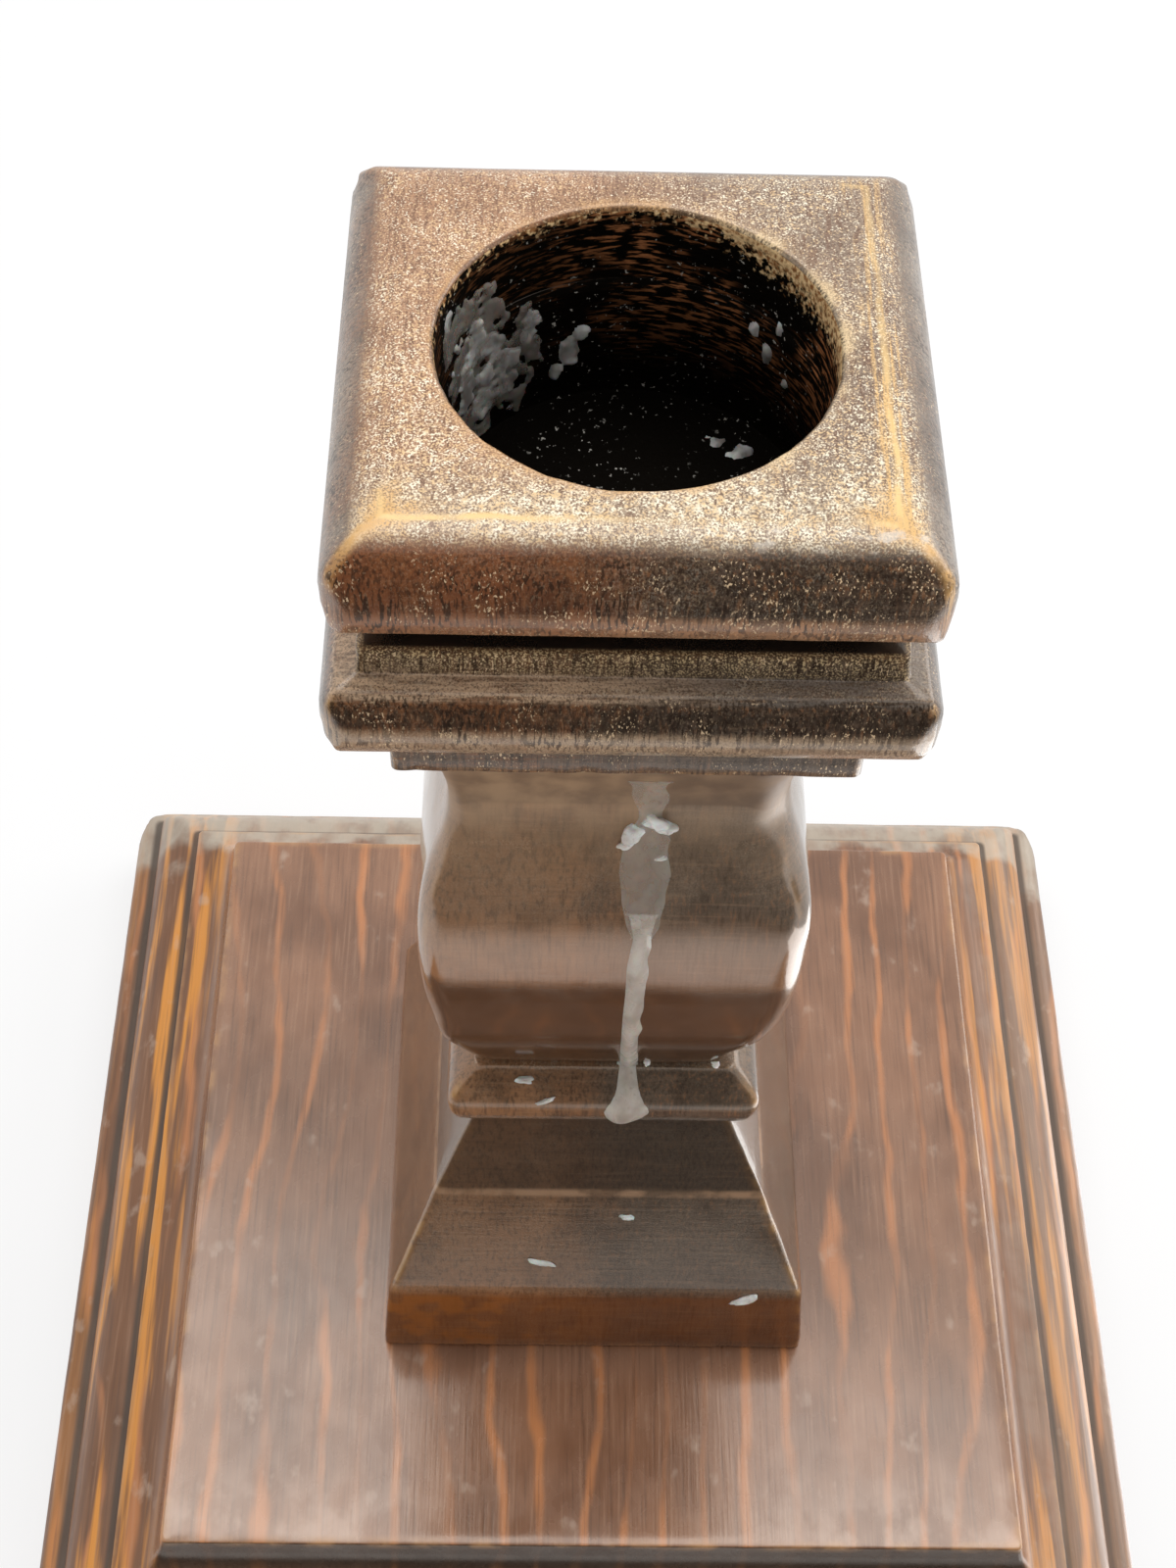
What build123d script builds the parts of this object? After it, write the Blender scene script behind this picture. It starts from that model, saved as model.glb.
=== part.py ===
from build123d import *

import os
from math import radians, tan

# Square moulded wooden candlestick in millimetres.
# Six moulded blocks are stacked on dowels and held to the wide base board by one screw from below.
# The origin is under the middle of the base, +Z is up and the moulded sides face X and Y.

# Base board, from its edge in to the flat field that carries the foot
base_side = 88.4
base_thickness = 18.0
base_corner_round = 4.0
base_lower_round = 0.6
nose_radius = 1.5
ledge_width = 1.0
ovolo_step = 0.8
ovolo_radius = 4.0
cove_quirk = 0.4
cove_fillet = 1.0
cove_radius = 4.2

# Foot block, a low plinth under two slopes
plinth_side = 33.6
plinth_top_side = 32.4
plinth_height = 8.0
plinth_corner_round = 0.8
knee_side = 25.0
knee_height = 18.0
foot_top_side = 18.2
foot_height = 25.4

# Collar, a beaded plate between the foot and the stem
collar_side = 22.8
collar_lower_side = 20.6
collar_shoulder_side = 21.6
collar_nose_height = 3.3
collar_shoulder_height = 5.0
collar_height = 6.2
collar_quirk = 0.3

# Stem, a square baluster with a bulb below and a coved neck above
stem_foot_side = 18.3
bulb_side = 25.7
neck_side = 21.2
stem_top_side = 26.4
belly_height = 19.6
belly_shoulder_drop = 7.2
belly_shoulder_inset = 0.31
neck_height = 32.4
neck_cove_share = 0.32284
stem_height = 39.9

# Candle socket
candle_diameter = 22.2
candle_depth = 14.2
rim_width = 2.3
rim_round = 0.4

# Capital, with the core that stands up into the socket block and leaves the dark groove
capital_neck_side = 27.4
capital_neck_height = 3.6
abacus_side = 34.4
abacus_height = 6.9
abacus_nose_height = 4.2
abacus_ledge_side = 32.4
abacus_slope = 0.25
abacus_corner_round = 2.2
capital_fillet_height = 1.75
groove_height = 2.45
groove_depth = 1.4
core_wall = 2.5
core_seat = 1.2

# Socket block
socket_side = 33.4
socket_height = 6.4
socket_ovolo_height = 3.6
socket_lower_side = 32.7
socket_lower_edge = 0.5
socket_corner_round = 2.2

# Dowels and the clearances of the glued joints
dowel_diameter = 8.0
dowel_chamfer = 0.6
dowel_end_gap = 0.5
dowel_depth_in_foot = 9.0
dowel_depth_in_stem = 12.0
dowel_depth_in_capital = 5.0
glue_clearance = 0.1

# Slotted countersunk wood screw
screw_length = 30.0
screw_head_diameter = 8.1
screw_shank_diameter = 4.2
screw_root_diameter = 3.0
screw_head_angle = 82
screw_head_recess = 0.8
screw_tip_length = 4.0
screw_slot_width = 1.1
screw_slot_depth = 1.0
screw_clearance = 0.1
pilot_spare = 1.2

# Levels of the joints, from the table up
foot_level = base_thickness
collar_level = foot_level + foot_height
stem_level = collar_level + collar_height
capital_level = stem_level + stem_height
abacus_level = capital_level + capital_neck_height
fillet_level = abacus_level + abacus_height
groove_level = fillet_level + capital_fillet_height
socket_level = groove_level + groove_height
top_level = socket_level + socket_height
core_level = socket_level + core_seat
candle_floor = top_level - candle_depth
screw_head_level = screw_head_recess
screw_tip_level = screw_head_level + screw_length

# Radii and sides that follow from the sizes above
candle_radius = candle_diameter / 2
core_side = candle_diameter + 2 * core_wall
capital_fillet_side = core_side + 2 * groove_depth
socket_top_side = candle_diameter + 2 * rim_width
dowel_hole_radius = dowel_diameter / 2 + glue_clearance

# The corner trimmer's flats stay this far outside the moulded sides
corner_spare = 0.02

os.makedirs("parts", exist_ok=True)


def mould_four_sides(outline, side):
    """Run an outline from front to back and trim it by the same outline from side to side."""
    for plane, mode in ((Plane.XZ, Mode.ADD), (Plane.YZ, Mode.INTERSECT)):
        with BuildSketch(plane) as profile:
            add(outline.sketch_local)
        extrude(profile.sketch, amount=side, both=True, mode=mode)


def round_upright_corners(side, radius):
    """Trim the four upright arrises of a square block to a radius."""
    trimmed_side = side + 2 * corner_spare
    with BuildSketch() as plan:
        RectangleRounded(trimmed_side, trimmed_side, radius)
    extrude(plan.sketch, amount=2 * top_level, both=True, mode=Mode.INTERSECT)


# Base board: one outline runs front to back, and the same outline side to side trims it to mitres
base_half = base_side / 2
ovolo_foot = base_half - nose_radius - ledge_width
ovolo_head = ovolo_foot - ovolo_radius
cove_foot = ovolo_head - cove_quirk
field_half = cove_foot - cove_radius
cove_floor = base_thickness - cove_radius
ovolo_crown = cove_floor - cove_fillet
ovolo_spring = ovolo_crown - ovolo_radius
ledge_level = ovolo_spring - ovolo_step

with BuildSketch() as base_outline:
    with BuildLine():
        FilletPolyline(
            (0, 0),
            (base_half, 0),
            (base_half, ledge_level),
            (ovolo_foot, ledge_level),
            (ovolo_foot, ovolo_spring),
            radius=(base_lower_round, nose_radius, 0),
        )
        TangentArc((ovolo_foot, ovolo_spring), (ovolo_head, ovolo_crown), tangent=(0, 1))
        Polyline((ovolo_head, ovolo_crown), (cove_foot, ovolo_crown), (cove_foot, cove_floor))
        TangentArc((cove_foot, cove_floor), (field_half, base_thickness), tangent=(-1, 0))
        Line((field_half, base_thickness), (0, base_thickness))
        mirror(about=Plane.YZ)
    make_face()

with BuildPart() as base_board:
    mould_four_sides(base_outline, base_side)
    round_upright_corners(base_side, base_corner_round)
    with Locations(Plane((0, 0, screw_head_level), z_dir=(0, 0, -1))):
        CounterSinkHole(
            screw_shank_diameter / 2 + screw_clearance,
            screw_head_diameter / 2 + screw_clearance,
            depth=base_thickness,
            counter_sink_angle=screw_head_angle,
        )

base_board.part.label = "base_board"
export_step(base_board.part, "parts/base_board.step")

# Foot block: the screw's pilot hole below, the dowel hole above
pilot_depth = screw_tip_level - foot_level + pilot_spare

with BuildSketch() as foot_outline:
    with BuildLine():
        Polyline(
            (0, foot_level),
            (plinth_side / 2, foot_level),
            (plinth_top_side / 2, foot_level + plinth_height),
            (knee_side / 2, foot_level + knee_height),
            (foot_top_side / 2, collar_level),
            (0, collar_level),
        )
        mirror(about=Plane.YZ)
    make_face()

with BuildPart() as foot_block:
    mould_four_sides(foot_outline, plinth_side)
    round_upright_corners(plinth_side, plinth_corner_round)
    with Locations(Plane((0, 0, foot_level), z_dir=(0, 0, -1))):
        Hole(screw_root_diameter / 2 + screw_clearance, depth=pilot_depth)
    with Locations((0, 0, collar_level)):
        Hole(dowel_hole_radius, depth=dowel_depth_in_foot)

foot_block.part.label = "foot_block"
export_step(foot_block.part, "parts/foot_block.step")

# Collar: a rounded nose below a sloping top, threaded on the lower dowel
collar_top_side = stem_foot_side + 2 * collar_quirk
collar_lower_corner = (collar_lower_side / 2, collar_level)
collar_nose = (collar_side / 2, collar_level + collar_nose_height)
collar_shoulder = (collar_shoulder_side / 2, collar_level + collar_shoulder_height)

with BuildSketch() as collar_outline:
    with BuildLine():
        Line((0, collar_level), collar_lower_corner)
        TangentArc(collar_nose, collar_lower_corner, tangent=(0, -1))
        TangentArc(collar_nose, collar_shoulder, tangent=(0, 1))
        Polyline(collar_shoulder, (collar_top_side / 2, stem_level), (0, stem_level))
        mirror(about=Plane.YZ)
    make_face()

with BuildPart() as collar:
    mould_four_sides(collar_outline, collar_side)
    with Locations((0, 0, stem_level)):
        Hole(dowel_hole_radius, depth=collar_height)

collar.part.label = "collar"
export_step(collar.part, "parts/collar.step")

# Stem: the belly turns in slowly and then faster below its widest level. Both the belly and the neck stand
# upright where they are widest and narrowest, so arcs from them that meet on the line between them have no kink.
# The cove takes its share of that line, and the flare rises from the neck
belly_level = stem_level + belly_height
belly_shoulder = (bulb_side / 2 - belly_shoulder_inset, belly_level - belly_shoulder_drop)
neck_level = stem_level + neck_height
belly = (bulb_side / 2, belly_level)
neck = (neck_side / 2, neck_level)
kink_free_point = (
    neck_side / 2 + neck_cove_share * (bulb_side - neck_side) / 2,
    neck_level - neck_cove_share * (neck_level - belly_level),
)

with BuildSketch() as stem_outline:
    with BuildLine():
        Line((0, stem_level), (stem_foot_side / 2, stem_level))
        slow_turn = TangentArc(belly, belly_shoulder, tangent=(0, -1))
        TangentArc(belly_shoulder, (stem_foot_side / 2, stem_level), tangent=slow_turn % 1)
        TangentArc(belly, kink_free_point, tangent=(0, 1))
        TangentArc(neck, kink_free_point, tangent=(0, -1))
        TangentArc(neck, (stem_top_side / 2, capital_level), tangent=(0, 1))
        Line((stem_top_side / 2, capital_level), (0, capital_level))
        mirror(about=Plane.YZ)
    make_face()

with BuildPart() as stem:
    mould_four_sides(stem_outline, bulb_side)
    with Locations(Plane((0, 0, stem_level), z_dir=(0, 0, -1))):
        Hole(dowel_hole_radius, depth=dowel_depth_in_stem)
    with Locations((0, 0, capital_level)):
        Hole(dowel_hole_radius, depth=dowel_depth_in_stem)

stem.part.label = "stem"
export_step(stem.part, "parts/stem.step")

# Capital: the abacus moulding, its fillets and the core round the lower part of the candle hole
abacus_foot = (capital_neck_side / 2, abacus_level)
abacus_nose = (abacus_side / 2, abacus_level + abacus_nose_height)
abacus_ledge = (abacus_ledge_side / 2, fillet_level - abacus_slope)

with BuildSketch() as capital_outline:
    with BuildLine():
        Polyline((0, capital_level), (capital_neck_side / 2, capital_level), abacus_foot)
        TangentArc(abacus_nose, abacus_foot, tangent=(0, -1))
        TangentArc(abacus_nose, abacus_ledge, tangent=(0, 1))
        Polyline(
            abacus_ledge,
            (capital_fillet_side / 2, fillet_level),
            (capital_fillet_side / 2, groove_level),
            (core_side / 2, groove_level),
            (core_side / 2, core_level),
            (0, core_level),
        )
        mirror(about=Plane.YZ)
    make_face()

with BuildPart() as capital:
    mould_four_sides(capital_outline, abacus_side)
    round_upright_corners(abacus_side, abacus_corner_round)
    with Locations((0, 0, core_level)):
        Hole(candle_radius, depth=core_level - candle_floor)
    with Locations(Plane((0, 0, capital_level), z_dir=(0, 0, -1))):
        Hole(dowel_hole_radius, depth=dowel_depth_in_capital)

capital.part.label = "capital"
export_step(capital.part, "parts/capital.step")

# Socket block: an ovolo round the flat rim, housed over the capital's core
socket_belly = (socket_side / 2, top_level - socket_ovolo_height)
socket_edge = (socket_lower_side / 2, socket_level + socket_lower_edge)
core_housing_side = core_side + 2 * glue_clearance

with BuildSketch() as socket_outline:
    with BuildLine():
        Polyline((0, socket_level), (socket_lower_side / 2 - socket_lower_edge, socket_level), socket_edge)
        TangentArc(socket_belly, socket_edge, tangent=(0, -1))
        TangentArc(socket_belly, (socket_top_side / 2, top_level), tangent=(0, 1))
        Line((socket_top_side / 2, top_level), (0, top_level))
        mirror(about=Plane.YZ)
    make_face()

with BuildPart() as socket_block:
    mould_four_sides(socket_outline, socket_side)
    round_upright_corners(socket_side, socket_corner_round)
    with BuildSketch(Plane.XY.offset(socket_level)):
        Rectangle(core_housing_side, core_housing_side)
    extrude(amount=core_seat, mode=Mode.SUBTRACT)
    with Locations((0, 0, top_level)):
        Hole(candle_radius, depth=socket_height)
    fillet(socket_block.edges().filter_by(GeomType.CIRCLE).sort_by(Axis.Z)[-1], rim_round)

socket_block.part.label = "socket_block"
export_step(socket_block.part, "parts/socket_block.step")

# Lower dowel: stands on the floor of the foot's hole and reaches through the collar into the stem
lower_dowel_level = collar_level - dowel_depth_in_foot
lower_dowel_length = dowel_depth_in_foot + collar_height + dowel_depth_in_stem - dowel_end_gap

with BuildPart() as lower_dowel:
    with BuildSketch(Plane.XY.offset(lower_dowel_level)):
        Circle(dowel_diameter / 2)
    extrude(amount=lower_dowel_length)
    chamfer(lower_dowel.edges().filter_by(GeomType.CIRCLE), dowel_chamfer)

lower_dowel.part.label = "lower_dowel"
export_step(lower_dowel.part, "parts/lower_dowel.step")

# Upper dowel: stands on the floor of the stem's upper hole and reaches into the capital
upper_dowel_level = capital_level - dowel_depth_in_stem
upper_dowel_length = dowel_depth_in_stem + dowel_depth_in_capital - dowel_end_gap

with BuildPart() as upper_dowel:
    with BuildSketch(Plane.XY.offset(upper_dowel_level)):
        Circle(dowel_diameter / 2)
    extrude(amount=upper_dowel_length)
    chamfer(upper_dowel.edges().filter_by(GeomType.CIRCLE), dowel_chamfer)

upper_dowel.part.label = "upper_dowel"
export_step(upper_dowel.part, "parts/upper_dowel.step")

# Base screw: a plain shank in the board, the root of the threaded part in the foot
screw_taper = (screw_head_diameter - screw_shank_diameter) / 2
screw_cone_level = screw_head_level + screw_taper / tan(radians(screw_head_angle / 2))

with BuildPart() as base_screw:
    with BuildSketch(Plane.XZ):
        with BuildLine():
            Polyline(
                (0, screw_head_level),
                (screw_head_diameter / 2, screw_head_level),
                (screw_shank_diameter / 2, screw_cone_level),
                (screw_shank_diameter / 2, foot_level),
                (screw_root_diameter / 2, foot_level),
                (screw_root_diameter / 2, screw_tip_level - screw_tip_length),
                (0, screw_tip_level),
                close=True,
            )
        make_face()
    revolve(axis=Axis.Z)
    with BuildSketch(Plane.XY.offset(screw_head_level)):
        Rectangle(screw_head_diameter, screw_slot_width)
    extrude(amount=screw_slot_depth, mode=Mode.SUBTRACT)

base_screw.part.label = "base_screw"
export_step(base_screw.part, "parts/base_screw.step")
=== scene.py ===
import math
import random

import bmesh
import bpy
import numpy as np
from mathutils import Matrix, Vector


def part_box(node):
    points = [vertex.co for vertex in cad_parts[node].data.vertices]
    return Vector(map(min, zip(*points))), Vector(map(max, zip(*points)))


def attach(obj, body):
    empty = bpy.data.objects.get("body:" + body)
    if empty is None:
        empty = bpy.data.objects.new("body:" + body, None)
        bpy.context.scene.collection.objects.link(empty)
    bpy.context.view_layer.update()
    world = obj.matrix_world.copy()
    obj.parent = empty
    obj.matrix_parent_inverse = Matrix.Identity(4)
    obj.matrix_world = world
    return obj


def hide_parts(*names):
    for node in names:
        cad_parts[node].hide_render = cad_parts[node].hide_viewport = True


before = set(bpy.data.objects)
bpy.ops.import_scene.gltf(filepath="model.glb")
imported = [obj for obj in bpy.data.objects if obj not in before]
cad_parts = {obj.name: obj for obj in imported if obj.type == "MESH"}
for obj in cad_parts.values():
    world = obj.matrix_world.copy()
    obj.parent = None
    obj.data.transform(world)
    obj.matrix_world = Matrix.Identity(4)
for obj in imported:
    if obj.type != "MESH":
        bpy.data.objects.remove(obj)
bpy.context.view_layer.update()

# A small square candlestick of moulded, dark stained wood, with the wax that candles left on it.
# Lengths are millimetres in the frame's axes unless a name says otherwise: X right, Y away, Z up.
MM = 0.001
scene = bpy.context.scene

# The camera, fitted to the straight edges of the object
PHOTO_HEIGHT = 1600
SENSOR = 36.0
FOCAL_PIXELS = 2473.6
CAMERA_PLACE = (-5.09, -99.26, 200.66)
CAMERA_PITCH_DOWN = 52.607
CAMERA_YAW = 1.95
CAMERA_ROLL = 2.417

# The blocks of moulded wood. Their end faces go from round at a hole's edge to square at the second size,
# corner_round is the rounding in plan, and arris and edge are how far the mitres and mouldings are eased.
# front_right is how many times as far the arris at that corner is eased.
BLOCKS = {
    "base_board": dict(below=(4.2, 30.0), above=(2.3, 16.0), corner_round=4.0, arris=0.5, edge=0.2),
    "foot_block": dict(below=(2.0, 15.0), above=(4.2, 8.5), corner_round=0.8, arris=0.4, edge=0.2),
    "collar": dict(below=(4.2, 9.6), above=(4.2, 9.2), corner_round=0.0, arris=0.7, edge=0.14),
    "stem": dict(
        below=(4.2, 8.8), above=(4.2, 12.4), corner_round=0.0, arris=1.6, edge=0.14, front_right=1.8,
    ),
    "capital": dict(below=(4.2, 12.8), above=(11.2, 13.5), corner_round=2.2, arris=0.5, edge=0.14),
    "socket_block": dict(below=(11.2, 13.6), above=(11.6, 13.3), corner_round=2.2, arris=0.6, edge=0.2),
}

# How a block's section is cut and stepped: the cut's distance from the middle, the gap at the axis, the steps
# along the outline, and the columns round a corner and along a side, in degrees
SECTION_OFFSET = 0.013
AXIS_GAP = 0.15
FINE_STEP = 0.04
LONGEST_STEP = 1.1
LARGEST_TURN = math.radians(15)
CORNER_ANGLES = (0, 0.2, 0.45, 0.8, 1.25, 1.8, 2.5, 3.4, 4.5, 5.8, 7.4, 9.3, 11.5)
SIDE_ANGLE_STEP = 2.1

# The candle hole, the joint across it that stays sharp, and the crease round the top
BORE_RADIUS = 11.1
BORE_FLOOR = 96.4
RIM_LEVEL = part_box("socket_block")[1].z / MM
JOINT_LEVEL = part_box("capital")[1].z / MM
JOINT_REACH = 1.5
JOINT_HALF = 13.9
TOP_CREASE = 13.4

# Half widths and levels where the mouldings and their looks change
FIELD_HALF = 33.1
LEDGE_HALF = 41.7
FILLET_HALF = 15.0
PLINTH_LEVEL = 26.0
KNEE_LEVEL = 36.0
BELLY_LEVEL = 69.2
NECK_LEVEL = 82.0
ABACUS_LEVEL = 93.1
NOSE_LEVEL = 97.3
FILLET_LEVEL = 100.0
GROOVE_LEVEL = 101.75

# Wear on the blocks: its width and depth, and the size of its patches
ARRIS_WIDTH = 1.1
ARRIS_PATCH = 4.0
DENT_DEPTH = 0.2
DENT_SIZE = 2.2
SMALL_DENT_SIZE = 0.8
FACE_RIPPLE = 0.03
RIPPLE_SIZE = 7.0
EDGE_BLUR = 0.4

# The floor's size in metres, how far it shows as plain white, and the strength of the room's light
FLOOR_SIZE = 6.0
FLOOR_PLAIN_SHARE = 0.7
ROOM_LIGHT = 0.6

# A dark card that only reflections show, in metres. It fades in on the floor in front of the base, stands up
# behind the camera, and has a low strip on the left
CARD_LIFT = 0.0005
CARD_FRONT = -0.068
CARD_FADE = -0.1
CARD_BACK = -0.6
CARD_TOP = 1.0
CARD_HALF = 0.8
CARD_LEFT = -0.5
CARD_LEFT_END = 0.5
CARD_LEFT_TOP = 0.07

# Wax is buried this deep at its edges and at its back
WAX_SINK = 0.08
WAX_ROOT = 0.25

# Steps along the wax, the lanes of a run and how many half widths they reach, the first, last and step of the
# lanes on the hole's floor, and the stick's least half width under a run
RUN_STEP = 0.15
RUN_LANES = 27
RUN_REACH = 1.3
BORE_STEP = 0.14
FLOOR_LANES = (-7.6, 7.7, 0.15)
FRONT_LEAST_HALF = 8.9

# How far up and down a crumb of wax feels the slope under it, and how deep it is sunk
CRUMB_SPAN = 0.4
CRUMB_SINK = 0.12


# Shapes

def read_section(node):
    """The right half of a CAD block's middle section as (half width, height), and if it is closed."""
    block = bmesh.new()
    block.from_mesh(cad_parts[node].data)
    bmesh.ops.remove_doubles(block, verts=block.verts, dist=1e-7)
    bmesh.ops.bisect_plane(
        block, geom=block.verts[:] + block.edges[:] + block.faces[:],
        plane_co=(0, 0, 0), plane_no=(-1, 0, 0), clear_outer=True,
    )
    cut = bmesh.ops.bisect_plane(
        block, geom=block.verts[:] + block.edges[:] + block.faces[:],
        plane_co=(0, SECTION_OFFSET * MM, 0), plane_no=(0, 1, 0), clear_inner=True, clear_outer=True,
    )
    beside = {}
    for edge in cut["geom_cut"]:
        if isinstance(edge, bmesh.types.BMEdge):
            a, b = edge.verts
            beside.setdefault(a, []).append(b)
            beside.setdefault(b, []).append(a)
    ends = [vert for vert in beside if len(beside[vert]) == 1]
    closed = not ends
    if closed:
        inner = min(vert.co.x for vert in beside)
        wall = [vert for vert in beside if vert.co.x < inner + 1e-6]
        here = min(wall, key=lambda vert: vert.co.z)
        after = max(beside[here], key=lambda vert: vert.co.x)
    else:
        here = min(ends, key=lambda vert: vert.co.z)
        after = beside[here][0]
    walk = [here]
    while after is not None and after is not walk[0]:
        walk.append(after)
        onward = [vert for vert in beside[after] if vert is not walk[-2]]
        after = onward[0] if onward else None
    points = np.array([(vert.co.x / MM, vert.co.z / MM) for vert in walk])
    block.free()
    return points, closed


def gaussian(values, sigma, step, closed=False):
    """Values at even steps along a line, smoothed over a distance sigma."""
    reach = int(math.ceil(3 * sigma / step))
    kernel = np.exp(-0.5 * (np.arange(-reach, reach + 1) * step / sigma) ** 2)
    kernel /= kernel.sum()
    padded = np.pad(values, (reach, reach), mode="wrap" if closed else "edge")
    return np.convolve(padded, kernel, mode="valid")


def even_steps(track, step, closed=False):
    """Points at even steps along a line of points."""
    along = np.concatenate([[0], np.cumsum(np.hypot(*np.diff(track, axis=0).T))])
    places = np.linspace(0, along[-1], int(along[-1] / step), endpoint=not closed)
    return np.stack([np.interp(places, along, track[:, axis]) for axis in (0, 1)], axis=1)


def worn_outline(points, closed, edge):
    """An outline with its corners eased, as (half width, height, convexity), at few enough points."""
    track = np.vstack([points, points[:1]]) if closed else points
    sharp = even_steps(track, FINE_STEP, closed)
    eased = np.stack([gaussian(sharp[:, axis], edge, FINE_STEP, closed) for axis in (0, 1)], axis=1)
    joint = (sharp[:, 0] < JOINT_HALF) & (np.abs(sharp[:, 1] - JOINT_LEVEL) < JOINT_REACH)
    eased[joint] = sharp[joint]
    step = np.roll(eased, -1, axis=0) - eased
    heading = np.unwrap(np.arctan2(step[:, 1], step[:, 0]))
    turn = np.diff(heading, prepend=heading[:1])
    if not closed:
        turn[[0, -1]] = 0
    turn = np.clip(turn, -0.5, 0.5)
    share = EDGE_BLUR * math.sqrt(2 * math.pi) / FINE_STEP / (math.pi / 2)
    convex = gaussian(turn, EDGE_BLUR, FINE_STEP, closed) * share
    convex[joint] = 0
    kept = [0]
    turned = 0.0
    for index in range(1, len(eased)):
        turned += abs(turn[index])
        if turned > LARGEST_TURN or (index - kept[-1]) * FINE_STEP > LONGEST_STEP:
            kept.append(index)
            turned = 0.0
    if not closed and kept[-1] != len(eased) - 1:
        kept.append(len(eased) - 1)
    return np.column_stack([eased, convex])[kept]


def ring_angles():
    """Angles of a ring's columns, in radians, close together at the four corners."""
    rest = 45 - CORNER_ANGLES[-1]
    steps = max(1, round(rest / SIDE_ANGLE_STEP))
    side = [CORNER_ANGLES[-1] + rest * (k + 1) / steps for k in range(steps)]
    half = np.array(list(CORNER_ANGLES) + side)
    corner = np.concatenate([-half[:0:-1], half[:-1]])
    return np.radians(np.concatenate([45 + 90 * quarter + corner for quarter in range(4)]))


def value_noise(points, size, seed):
    """Smooth noise from 0 to 1 over points, in cells of a size in millimetres, the same on every run."""
    scaled = points / size
    cell = np.floor(scaled).astype(np.int64)
    part = scaled - cell
    part = part * part * (3 - 2 * part)
    total = np.zeros(points.shape[:-1])
    for corner in np.ndindex(2, 2, 2):
        index = cell + np.array(corner)
        mixed = (index[..., 0] * 73856093) ^ (index[..., 1] * 19349663) ^ (index[..., 2] * 83492791)
        mixed = (mixed ^ (seed * 668265263)) & 0x7FFFFFFF
        mixed = (mixed ^ (mixed >> 13)) * 1274126177 & 0x7FFFFFFF
        value = (mixed ^ (mixed >> 16)) / 0x7FFFFFFF
        weight = np.prod(np.where(np.array(corner), part, 1 - part), axis=-1)
        total += value * weight
    return total


def fold(angles):
    """Angles from the middle of the nearest side."""
    return np.abs((angles + math.pi / 4) % (math.pi / 2) - math.pi / 4)


def rounded_square(half, radius, angles):
    """Distance from the axis to a rounded square, for each of its rings and columns."""
    folded = fold(angles)
    along, across = np.cos(folded), np.sin(folded)
    flat = half / along
    centre = half - radius
    reach = centre * (along + across)
    inside = np.maximum(reach**2 - 2 * centre**2 + radius**2, 0)
    return np.where(half * across <= centre * along, flat, reach + np.sqrt(inside))


def mesh_object(name, points, faces, material):
    """A smooth shaded object from points in millimetres, with its faces turned outwards."""
    mesh = bpy.data.meshes.new(name)
    mesh.from_pydata((np.asarray(points) * MM).tolist(), [], faces)
    skin = bmesh.new()
    skin.from_mesh(mesh)
    bmesh.ops.recalc_face_normals(skin, faces=skin.faces)
    skin.to_mesh(mesh)
    skin.free()
    mesh.polygons.foreach_set("use_smooth", np.ones(len(mesh.polygons), bool))
    mesh.materials.append(material)
    made = bpy.data.objects.new(name, mesh)
    scene.collection.objects.link(made)
    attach(made, "root")
    return made


def set_attribute(made, name, values):
    """A number at each point of a mesh, for its material to read."""
    attribute = made.data.attributes.new(name, "FLOAT", "POINT")
    attribute.data.foreach_set("value", np.asarray(values, np.float32))


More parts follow.
